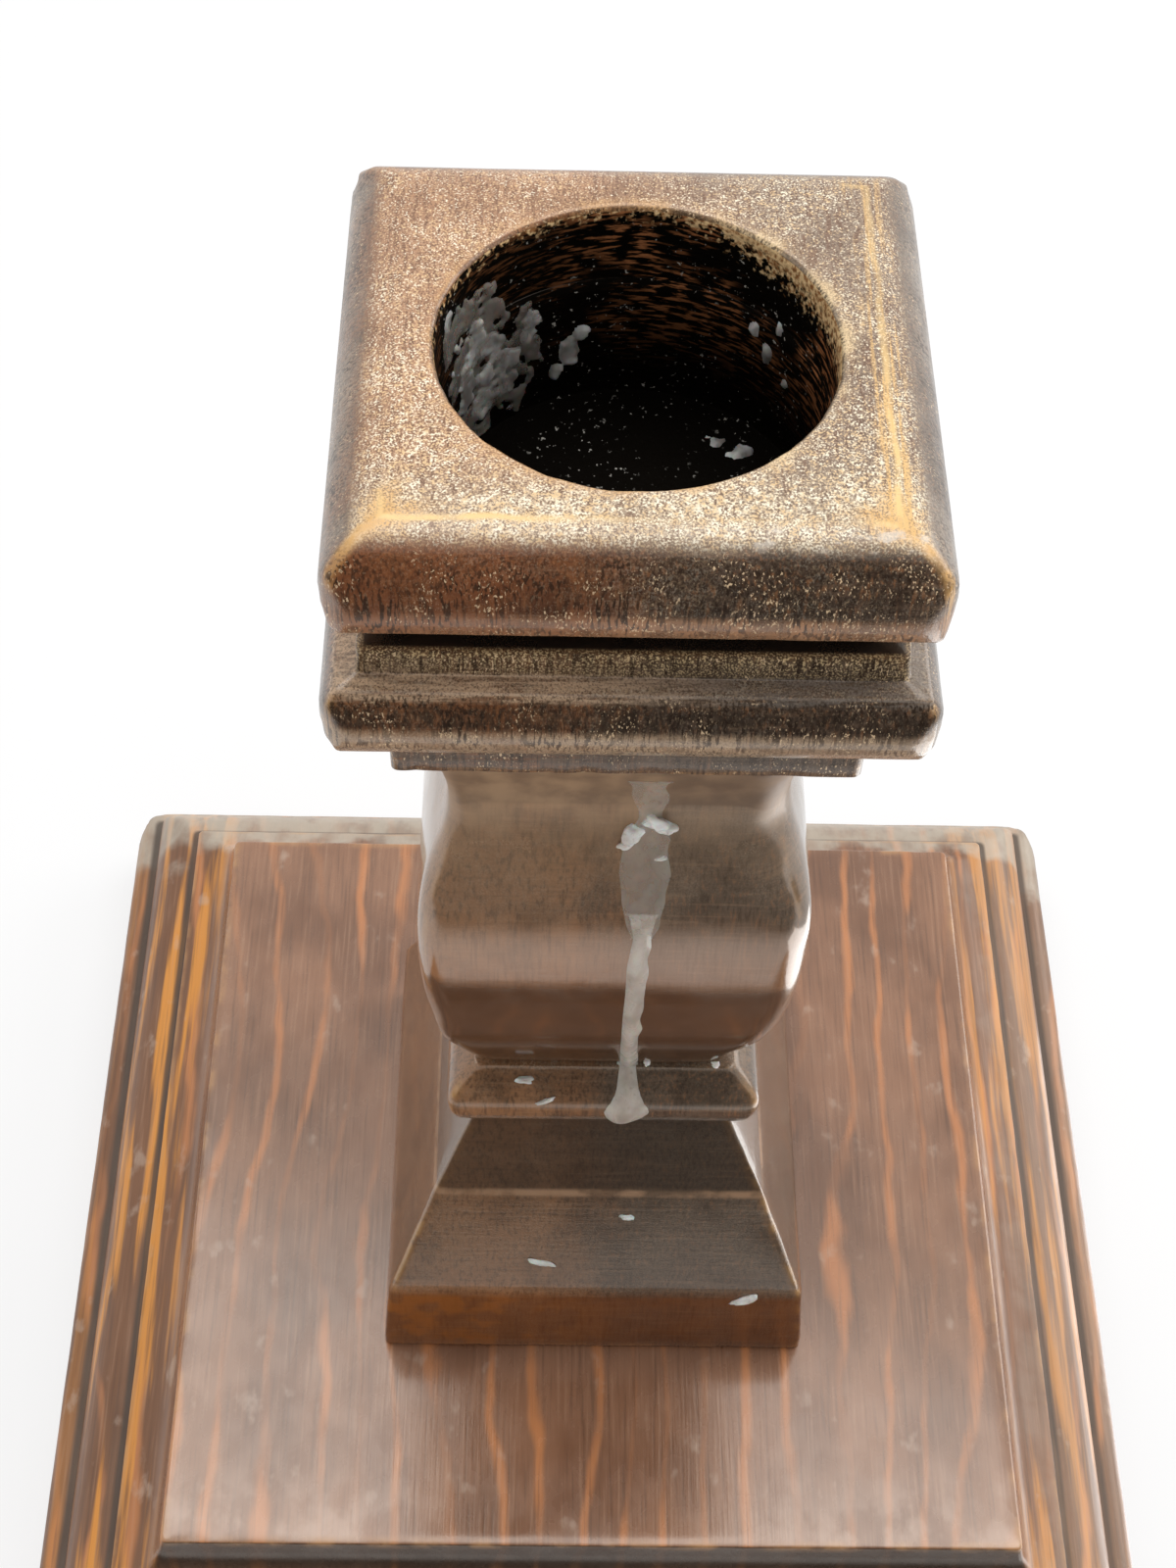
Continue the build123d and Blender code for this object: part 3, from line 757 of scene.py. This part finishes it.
def board_wood():
    """The base board: polished brown, with soft orange growth rings running from front to back."""
    look = Finish("board_wood")
    level, times, paint = look.level, look.times, look.paint
    x = look.axis(look.place, "X")
    drift = level(look.noise((0.03, 0.01, 0.03), 2.0), 0.2, 0.8, -5, 5)
    wobble = level(look.noise((0.14, 0.07, 0.1), 3.0, (4, 2, 2)), 0.2, 0.8, -0.8, 0.8)
    phase = times(look.plus(x, drift, wobble), 1 / 3.7)
    from_line = look.size(look.math("SUBTRACT", look.math("FRACT", phase), 0.5))
    strength = level(look.noise((0.2, 0.05, 0.1), 3.0, (9, 1, 5)), 0.38, 0.64)
    line = level(from_line, level(strength, 0, 1, 0.12, 0.2), 0.02)
    cloud = look.noise((0.14, 0.07, 0.1), 4.0, (1, 7, 2))
    look.wood = look.mix(level(cloud, 0.35, 0.65), colour(0.27, 0.13, 0.072), colour(0.16, 0.07, 0.036))
    edge = level(look.size(x), FIELD_HALF - 0.1, FIELD_HALF + 1.9)
    paint(times(edge, 0.7), 0.15, 0.055, 0.017)
    paint(times(line, level(strength, 0, 1, 0.12, 0.75)), 0.58, 0.22, 0.075)
    broad = level(look.noise((0.75, 0.035, 0.4), 4.0, (3, 6, 1)), 0.48, 0.61)
    broad = times(broad, level(look.size(x), LEDGE_HALF + 0.5, LEDGE_HALF - 0.7, 0.25, 1.0))
    patched = times(level(x, 0, 36, 1.0, 0.65), level(look.facing("Z"), 0.0, 0.5, 0.5, 1.0))
    paint(times(broad, edge, patched), 0.68, 0.27, 0.04)
    grain = look.noise((3.4, 0.12, 2.0), 4.0)
    paint(level(grain, 0.5, 0.72, 0, 0.4), 0.05, 0.022, 0.013)
    paint(level(grain, 0.46, 0.3, 0, 0.2), 0.5, 0.3, 0.19)
    scuff = look.noise((0.5, 0.3, 0.6), 4.0, (2, 2, 9))
    paint(level(scuff, 0.62, 0.76, 0, 0.4), 0.55, 0.42, 0.33)

    y = look.axis(look.place, "Y")
    # Pale on the up-facing back moulding and a little on the right: dust and a painted reflection of the
    # white behind
    ragged = level(look.noise((0.22, 0.22, 0.22), 4.0, (7, 7, 3)), 0.25, 0.75, -2.0, 2.0)
    behind = level(look.plus(y, ragged), FIELD_HALF + 0.9, FIELD_HALF + 3.9, 0, 0.75)
    right = level(look.plus(x, ragged), FIELD_HALF + 1.4, FIELD_HALF + 4.4, 0, 0.14)
    behind = look.math("MAXIMUM", behind, right)
    behind = times(behind, level(look.facing("Z"), 0.1, 0.7, 0.1, 1.0))
    paint(times(behind, level(scuff, 0.3, 0.6, 0.6, 1.0)), 0.5, 0.45, 0.37)
    # The front-facing faces are darker: end grain and painted shade
    ends = level(look.facing("Y"), -0.5, -0.9)
    paint(times(ends, 0.9), 0.03, 0.021, 0.016)
    # Paler at the field's front, away from the middle: chafing and a painted sheen
    nearest = times(level(y, -24.0, -34.0), level(look.size(x), 5.0, 20.0, 0.2, 1.0))
    nearest = times(nearest, level(edge, 0.5, 0), level(look.facing("Z"), 0.9, 0.98))
    chafe_and_sheen = look.noise((0.3, 0.22, 0.3), 4.0, (5, 3, 7))
    chafe_and_sheen = times(nearest, level(chafe_and_sheen, 0.42, 0.6, 0.1, 0.6))
    paint(chafe_and_sheen, 0.52, 0.37, 0.29)
    rubbed = look.noise((0.3, 0.3, 0.5), 4.0, (3, 1, 6))
    worn = level(look.attribute("wear"), 0.3, 0.9)
    worn = times(worn, level(rubbed, 0.42, 0.64, 0.05, 0.6))
    paint(worn, 0.55, 0.29, 0.12)
    # Inner corners are darkened: painted shade
    corner_shade = level(look.attribute("corner_shade"), 0.12, 0.5, 0, 0.85)
    paint(corner_shade, 0.02, 0.011, 0.008)

    height = look.plus(times(grain, -0.6), times(scuff, 0.3))
    moulded = look.math("MAXIMUM", edge, level(look.size(y), FIELD_HALF + 1.4, FIELD_HALF + 2.4))
    rough = look.plus(level(scuff, 0.3, 0.7, 0.2, 0.32), times(moulded, 0.2))
    return look.finish(
        Base_Color=look.wood, Roughness=rough, Normal=look.bump(height, 0.03), Specular_IOR_Level=0.7,
        Specular_Tint=colour(1.0, 0.84, 0.7), Coat_Weight=level(moulded, 0, 1, 0.4, 0.1),
        Coat_Roughness=0.14, Coat_IOR=1.7,
    )


def dowel_wood():
    """Pale beech with short dark flecks along the dowel."""
    look = Finish("dowel_wood")
    fibre = look.noise((2.2, 2.2, 0.15), 3.0)
    flecks = look.level(look.noise((5.0, 5.0, 0.7), 2.0, (2, 2, 2)), 0.6, 0.72)
    look.wood = look.mix(look.level(fibre, 0.3, 0.7), colour(0.62, 0.45, 0.28), colour(0.5, 0.34, 0.2))
    look.paint(look.times(flecks, 0.6), 0.27, 0.16, 0.09)
    return look.finish(
        Base_Color=look.wood, Roughness=look.level(fibre, 0.3, 0.7, 0.5, 0.65), Normal=look.bump(fibre, 0.05),
    )


def screw_steel():
    """A dull steel screw with some rust in its scratches."""
    look = Finish("screw_steel")
    scratch = look.noise((0.4, 6.0, 6.0), 3.0)
    rust = look.level(look.noise((0.9, 0.9, 0.9), 5.0), 0.52, 0.68)
    steel = look.mix(look.level(scratch, 0.3, 0.7), colour(0.3, 0.29, 0.27), colour(0.42, 0.41, 0.39))
    steel = look.mix(rust, steel, colour(0.16, 0.07, 0.035))
    return look.finish(
        Base_Color=steel, Metallic=look.level(rust, 0, 1, 1, 0.2),
        Roughness=look.level(scratch, 0.3, 0.7, 0.3, 0.5), Normal=look.bump(scratch, 0.02),
    )


def candle_wax(name, alpha, pale, dull):
    """Old wax in two tones, a little dusty, and thin enough in places for the wood to show through."""
    look = Finish(name)
    cloud = look.noise((0.8, 0.8, 0.5), 3.0)
    wax = look.mix(look.level(cloud, 0.3, 0.7), colour(*pale), colour(*dull))
    dirt = look.level(look.noise((3.0, 3.0, 3.0), 2.0, (3, 3, 3)), 0.6, 0.75)
    wax = look.mix(look.times(dirt, 0.35), wax, colour(0.4, 0.32, 0.24))
    return look.finish(
        Base_Color=wax, Roughness=look.level(cloud, 0.3, 0.7, 0.22, 0.4), Normal=look.bump(cloud, 0.08),
        Subsurface_Weight=0.3, Subsurface_Scale=0.0006, Alpha=alpha,
    )


# Wax

def front_line(outlines):
    """The stick's front from the base's field to the capital, as rising (height, half width) points."""
    line = []
    for node in ("foot_block", "collar", "stem"):
        for half, level, _ in outlines[node]:
            if half > FRONT_LEAST_HALF:
                line.append((level, half))
    return np.array(sorted(line))


def wax_sheet(name, surface, outward, thickness, material):
    """A closed skin of wax over a grid of places on the wood, buried where its thickness is negative."""
    rows, columns = thickness.shape
    front = surface + outward * thickness[..., None]
    back = surface - outward * WAX_ROOT
    verts = np.vstack([front.reshape(-1, 3), back.reshape(-1, 3)])
    behind = rows * columns
    faces = []
    for row in range(rows - 1):
        for column in range(columns - 1):
            corner = row * columns + column
            quad = (corner, corner + columns, corner + columns + 1, corner + 1)
            faces.append(quad)
            faces.append(tuple(behind + index for index in reversed(quad)))
    index = np.arange(behind).reshape(rows, columns)
    border = np.concatenate([index[0, :-1], index[:-1, -1], index[-1, :0:-1], index[:0:-1, 0]]).tolist()
    for here, onward in zip(border, border[1:] + border[:1]):
        faces.append((here, onward, behind + onward, behind + here))
    return mesh_object(name, verts, faces, material)


def wax_run(name, stations, line, material, seed):
    """A run of wax down the stick's front, through stations of (height, centre, half width, thickness)."""
    stations = np.array(stations)
    path = even_steps(line[::-1], RUN_STEP)
    path = np.stack([gaussian(path[:, axis], 0.3, RUN_STEP) for axis in (0, 1)], axis=1)
    slope = np.gradient(path, axis=0)
    slope /= np.hypot(*slope.T)[:, None]
    used = (path[:, 0] <= stations[0, 0]) & (path[:, 0] >= stations[-1, 0])
    level, half = path[used].T
    fall, spread = slope[used].T
    centre, reach, thick = (
        gaussian(np.interp(-level, -stations[:, 0], stations[:, column]), 0.4, RUN_STEP)
        for column in (1, 2, 3)
    )
    spots = np.column_stack([level, level * 0, level * 0])
    ragged = value_noise(spots, 1.6, seed) - 0.5
    lanes = np.linspace(-RUN_REACH, RUN_REACH, RUN_LANES)
    across = (centre + 0.2 * ragged)[:, None] + lanes * (reach * (1 + 0.3 * ragged))[:, None]
    surface = np.stack(np.broadcast_arrays(across, -half[:, None], level[:, None]), axis=-1)
    outward = np.stack(np.broadcast_arrays(across * 0, fall[:, None], spread[:, None]), axis=-1)
    tapered = np.minimum(1, np.minimum(level[0] - level, level - level[-1]) / 0.8)
    skin = (thick * tapered)[:, None] * (1 - lanes**2)
    skin += 0.1 * (value_noise(surface, 0.9, seed + 1) - 0.5) * (skin > 0)
    return wax_sheet(name, surface, outward, np.clip(skin, -WAX_SINK, None), material)


def blotches(u, v, spots, points, seed):
    """Thin wax over a grid, in rough edged spots of (u, v, reach in u, reach in v, thickness)."""
    rough = value_noise(points, 1.1, seed) + 0.7 * value_noise(points, 0.4, seed + 1) - 0.9
    thick = np.full(u.shape, -1.0)
    for spot_u, spot_v, reach_u, reach_v, deep in spots:
        swell = 1 - ((u - spot_u) / reach_u) ** 2 - ((v - spot_v) / reach_v) ** 2 + 2.2 * rough
        thick = np.maximum(thick, np.minimum(0.5 * swell, deep + 0.15 * rough))
    return np.clip(thick, -WAX_SINK, None)


def bore_wax(name, angles, levels, spots, material, seed):
    """Wax on the candle hole's wall between two angles, in degrees, and two levels."""
    arc = math.radians(angles[1] - angles[0]) * BORE_RADIUS
    turns = np.linspace(*angles, int(arc / BORE_STEP))
    heights = np.arange(*levels, BORE_STEP)
    turn, height = np.meshgrid(turns, heights)
    radians = np.radians(turn)
    inward = np.stack([-np.cos(radians), -np.sin(radians), radians * 0], axis=-1)
    surface = -BORE_RADIUS * inward + np.stack([height * 0, height * 0, height], axis=-1)
    skin = blotches(turn, height, spots, surface, seed)
    return wax_sheet(name, surface, inward, skin, material)


def floor_wax(name, spots, material, seed):
    """Wax on the candle hole's floor, in spots of (x, y, reach in x, reach in y, thickness)."""
    lane = np.arange(*FLOOR_LANES)
    x, y = np.meshgrid(lane, lane)
    surface = np.stack([x, y, np.full(x.shape, BORE_FLOOR)], axis=-1)
    upward = np.broadcast_to(np.array([0.0, 0.0, 1.0]), surface.shape)
    return wax_sheet(name, surface, upward, blotches(x, y, spots, surface, seed), material)


def wax_crumbs(name, crumbs, line, material, seed):
    """Crumbs of wax on the stick's front: each is (x, height, length, width, thickness)."""
    draw = random.Random(seed)
    verts = []
    faces = []
    for x, level, length, width, thick in crumbs:
        low, high = np.interp((level - CRUMB_SPAN, level + CRUMB_SPAN), line[:, 0], line[:, 1])
        outward = Vector((0, -2 * CRUMB_SPAN, low - high)).normalized()
        place = np.array((x, -np.interp(level, line[:, 0], line[:, 1]), level))
        lump = bmesh.new()
        bmesh.ops.create_icosphere(lump, subdivisions=3, radius=1.0)
        ball = np.array([vert.co for vert in lump.verts])
        shift = np.array([draw.uniform(0, 50) for _ in range(3)])
        ball = ball * (0.5 + value_noise(ball + shift, 0.6, seed))[:, None]
        ball = ball * (length / 2, width / 2, thick)
        ball[:, 2] = np.maximum(ball[:, 2], -CRUMB_SINK)
        upright = outward.to_track_quat("Z", "Y").to_matrix()
        tilt = Matrix.Rotation(draw.uniform(-0.5, 0.5), 3, "Z")
        start = len(verts)
        verts.extend(ball @ np.array(upright @ tilt).T + place)
        faces.extend([start + vert.index for vert in face.verts] for face in lump.faces)
        lump.free()
    return mesh_object(name, verts, faces, material)


# Building

sooty = bore_wood()
# Stick colours from left to right, warm to cool: the change is a painted reflection
aged = dict(warm=(0.27, 0.13, 0.06), middle=(0.18, 0.088, 0.043), cool=(0.115, 0.08, 0.056))
stained = dict(warm=(0.185, 0.068, 0.026), middle=(0.115, 0.049, 0.024), cool=(0.075, 0.048, 0.034))
foot = stick_wood("foot_wood", gilt=0.4, dusty=0.05, settled=0.15, film=0.12, contrast=0.5, gloss=1.0, **aged)
collar = stick_wood(
    "collar_wood", gilt=0.3, dusty=0.03, settled=0.08, film=0.2, contrast=0.6, gloss=0.8, **aged,
)
stem = stick_wood("stem_wood", gilt=0.1, dusty=0.04, settled=0.2, film=0.7, contrast=0.65, gloss=1.0, **aged)
capital = stick_wood(
    "capital_wood", gilt=0.35, dusty=0.06, settled=0.3, film=0.1, contrast=0.9, gloss=0.7, sides=0.5,
    corner_shading=0.35, **stained,
)
socket = stick_wood(
    "socket_wood", gilt=0.8, dusty=0.1, settled=1.0, film=0.1, contrast=0.9, gloss=0.55, sides=0.6, **stained,
)
finishes = {
    "base_board": [board_wood()],
    "foot_block": [finish_stick(foot_layers(foot))],
    "collar": [finish_stick(collar)],
    "stem": [finish_stick(stem_layers(stem))],
    "capital": [finish_stick(capital_layers(capital)), sooty],
    "socket_block": [finish_stick(top_layers(socket)), sooty],
}
outlines = {}
for seed, node in enumerate(BLOCKS):
    outlines[node] = worn_block(node, 11 * seed + 5, finishes[node])

beech = dowel_wood()
steel = screw_steel()
for node, finish in (("lower_dowel", beech), ("upper_dowel", beech), ("base_screw", steel)):
    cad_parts[node].data.materials.clear()
    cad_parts[node].data.materials.append(finish)

front = front_line(outlines)
thin_wax = candle_wax("wax_film", 0.26, pale=(0.84, 0.76, 0.67), dull=(0.62, 0.53, 0.45))
run_wax = candle_wax("wax_stream", 0.66, pale=(0.84, 0.76, 0.67), dull=(0.62, 0.53, 0.45))
lump_wax = candle_wax("wax_lump", 0.9, pale=(0.95, 0.93, 0.89), dull=(0.66, 0.62, 0.57))
hole_wax = candle_wax("wax_crust", 0.75, pale=(0.95, 0.93, 0.89), dull=(0.3, 0.28, 0.26))
wax_run(
    "wax_film",
    [
        (85.8, 1.6, 1.0, 0.12), (83.5, 1.7, 0.95, 0.14), (81.4, 1.9, 0.6, 0.15), (79.5, 1.7, 1.3, 0.18),
        (77.5, 1.65, 1.55, 0.18), (74.4, 1.75, 1.5, 0.2), (72.2, 1.7, 0.95, 0.2), (71.0, 1.7, 0.5, 0.2),
    ],
    front, thin_wax, 31,
)
wax_run(
    "wax_stream",
    [
        (73.6, 1.7, 0.9, 0.12), (71.4, 1.68, 0.5, 0.24), (68.0, 1.6, 0.7, 0.26), (64.4, 1.6, 0.66, 0.26),
        (61.2, 1.55, 0.66, 0.26), (54.5, 1.6, 0.62, 0.28), (50.0, 1.75, 0.62, 0.32), (48.5, 1.75, 0.8, 0.36),
        (46.6, 1.7, 1.6, 0.45), (45.0, 1.5, 1.2, 0.36), (43.6, 1.2, 0.5, 0.3),
    ],
    front, run_wax, 37,
)
wax_crumbs(
    "wax_crumbs",
    [
        (0.8, 79.9, 1.5, 1.7, 0.5), (0.4, 79.0, 1.0, 0.7, 0.35), (2.2, 81.0, 1.3, 1.2, 0.6),
        (2.9, 80.5, 1.5, 1.0, 0.55), (2.6, 78.0, 0.9, 0.35, 0.25), (3.0, 50.4, 0.5, 0.4, 0.3),
        (-5.7, 48.9, 1.2, 0.5, 0.2), (-4.2, 47.6, 1.4, 0.4, 0.2), (11.7, 25.8, 2.5, 0.9, 0.3),
        (-4.3, 29.3, 1.9, 0.6, 0.12), (2.2, 33.8, 1.0, 0.5, 0.1), (8.0, 50.2, 0.6, 0.4, 0.3),
    ],
    front, lump_wax, 3,
)
bore_wax(
    "wax_smear", (112, 172), (96.8, 109.0),
    [
        (146, 103.5, 14, 3.6, 0.1), (138, 100.2, 16, 3.0, 0.1), (124, 102.4, 5, 2.2, 0.1),
        (158, 106.5, 8, 2.0, 0.1), (150, 98.6, 14, 2.0, 0.1),
    ],
    thin_wax, 49,
)
bore_wax(
    "wax_left", (116, 170), (97.0, 110.0),
    [
        (149, 105.2, 6, 1.0, 0.1), (143, 103.4, 7, 1.5, 0.12), (135, 101.4, 7, 1.6, 0.12),
        (150, 101.8, 4, 1.6, 0.1), (141, 99.2, 6, 1.0, 0.12), (161, 108.3, 3, 0.7, 0.1),
        (131, 99.5, 3, 1.0, 0.1), (157, 103.6, 2.5, 0.8, 0.1), (123, 103.0, 3.5, 1.2, 0.1),
    ],
    hole_wax, 51,
)
bore_wax(
    "wax_back", (98, 116), (97.5, 103.5),
    [(109, 100.0, 3.5, 1.0, 0.22), (105, 101.4, 2.0, 0.6, 0.2), (113, 98.8, 2.0, 0.6, 0.2)],
    hole_wax, 57,
)
bore_wax(
    "wax_right", (28, 56), (99.0, 107.5),
    [
        (44, 102.6, 2, 0.7, 0.2), (40, 105.2, 1.6, 0.6, 0.2),
        (49, 104.0, 1.4, 0.5, 0.2), (35, 101.6, 1.3, 0.5, 0.2),
    ],
    hole_wax, 61,
)
floor_wax(
    "wax_floor",
    [(5.4, 6.9, 0.7, 0.6, 0.25), (6.8, 6.0, 0.7, 0.6, 0.25), (-6.0, 2.0, 0.5, 0.5, 0.2)],
    hole_wax, 67,
)

# The floor, the dark card, the light and the camera

floor_look = Finish("floor")
soft_grain = floor_look.noise((0.05, 0.05, 0.05), 2.0)
pale = floor_look.mix(floor_look.level(soft_grain, 0.2, 0.8), colour(0.9, 0.9, 0.9), colour(0.92, 0.92, 0.92))
lit = floor_look.node("BsdfDiffuse", {"Color": pale}).outputs[0]
plain = floor_look.node("Emission", {"Strength": 1.0}).outputs[0]
floor_look.shade("Material", floor_look.times(floor_look.seen(), FLOOR_PLAIN_SHARE), lit, plain)
bpy.ops.mesh.primitive_plane_add(size=FLOOR_SIZE)
floor = bpy.context.object
floor.name = "floor"
floor.data.materials.append(floor_look.material)

card_look = Finish("dark_card")
felt = card_look.noise((0.5, 0.5, 0.5), 2.0)
card_colour = card_look.mix(felt, colour(0.03, 0.028, 0.026), colour(0.05, 0.047, 0.044))
felted = card_look.node("BsdfDiffuse", {"Color": card_colour}).outputs[0]
clear = card_look.node("BsdfTransparent").outputs[0]
fade = card_look.level(card_look.axis(card_look.place, "Y"), CARD_FRONT / MM, CARD_FADE / MM)
card_look.shade("Material", fade, clear, felted)
card_mesh = bpy.data.meshes.new("dark_card")
card_lines = [(CARD_FRONT, CARD_LIFT), (CARD_BACK, CARD_LIFT), (CARD_BACK, CARD_TOP)]
card_points = [(x, y, z) for y, z in card_lines for x in (-CARD_HALF, CARD_HALF)]
card_points += [(CARD_LEFT, y, z) for y in (CARD_BACK, CARD_LEFT_END) for z in (CARD_LIFT, CARD_LEFT_TOP)]
card_mesh.from_pydata(card_points, [], [(0, 1, 3, 2), (2, 3, 5, 4), (6, 7, 9, 8)])
card_mesh.materials.append(card_look.material)
card = bpy.data.objects.new("dark_card", card_mesh)
card.visible_camera = False
card.visible_diffuse = False
card.visible_shadow = False
scene.collection.objects.link(card)

world = bpy.data.worlds.new("studio")
scene.world = world
sky = Nodes(world)
room = sky.node("Background", {"Color": colour(1, 1, 1), "Strength": ROOM_LIGHT}).outputs[0]
white = sky.node("Background", {"Color": colour(1, 1, 1)}).outputs[0]
sky.shade("World", sky.seen(), room, white)


def soft_light(name, place, target, width, height, power, mirrored_only=False):
    """A softbox at a place, in metres, facing a target. It may show in reflections only."""
    lamp = bpy.data.lights.new(name, "AREA")
    lamp.shape = "RECTANGLE"
    lamp.size, lamp.size_y = width, height
    lamp.energy = power
    made = bpy.data.objects.new(name, lamp)
    made.location = place
    made.rotation_euler = (Vector(target) - Vector(place)).to_track_quat("-Z", "Y").to_euler()
    made.visible_camera = False
    made.visible_diffuse = not mirrored_only
    scene.collection.objects.link(made)


soft_light("overhead", (0.03, 0.13, 0.62), (0, 0, 0.03), 0.75, 0.26, 2.0)
soft_light("right_window", (0.55, 0.25, 0.32), (0, 0, 0.03), 0.4, 0.4, 1.6)
soft_light("right_strip", (0.069, -0.02, 0.002), (0.069, -0.02, 1.0), 0.046, 0.09, 0.034, mirrored_only=True)

pitch, yaw, roll = (math.radians(angle) for angle in (CAMERA_PITCH_DOWN, CAMERA_YAW, CAMERA_ROLL))
ahead = Vector((math.sin(yaw) * math.cos(pitch), math.cos(yaw) * math.cos(pitch), -math.sin(pitch)))
level_right = Vector((math.cos(yaw), -math.sin(yaw), 0))
level_up = level_right.cross(ahead)
right = math.cos(roll) * level_right + math.sin(roll) * level_up
above = math.cos(roll) * level_up - math.sin(roll) * level_right
lens = bpy.data.cameras.new("camera")
lens.sensor_width = SENSOR
lens.lens = FOCAL_PIXELS * SENSOR / PHOTO_HEIGHT
lens.clip_start, lens.clip_end = 0.005, 20
camera = bpy.data.objects.new("camera", lens)
turned = Matrix((right, above, -ahead)).transposed().to_4x4()
camera.matrix_world = Matrix.Translation(Vector(CAMERA_PLACE) * MM) @ turned
scene.collection.objects.link(camera)
scene.camera = camera
scene.view_settings.view_transform = "Standard"
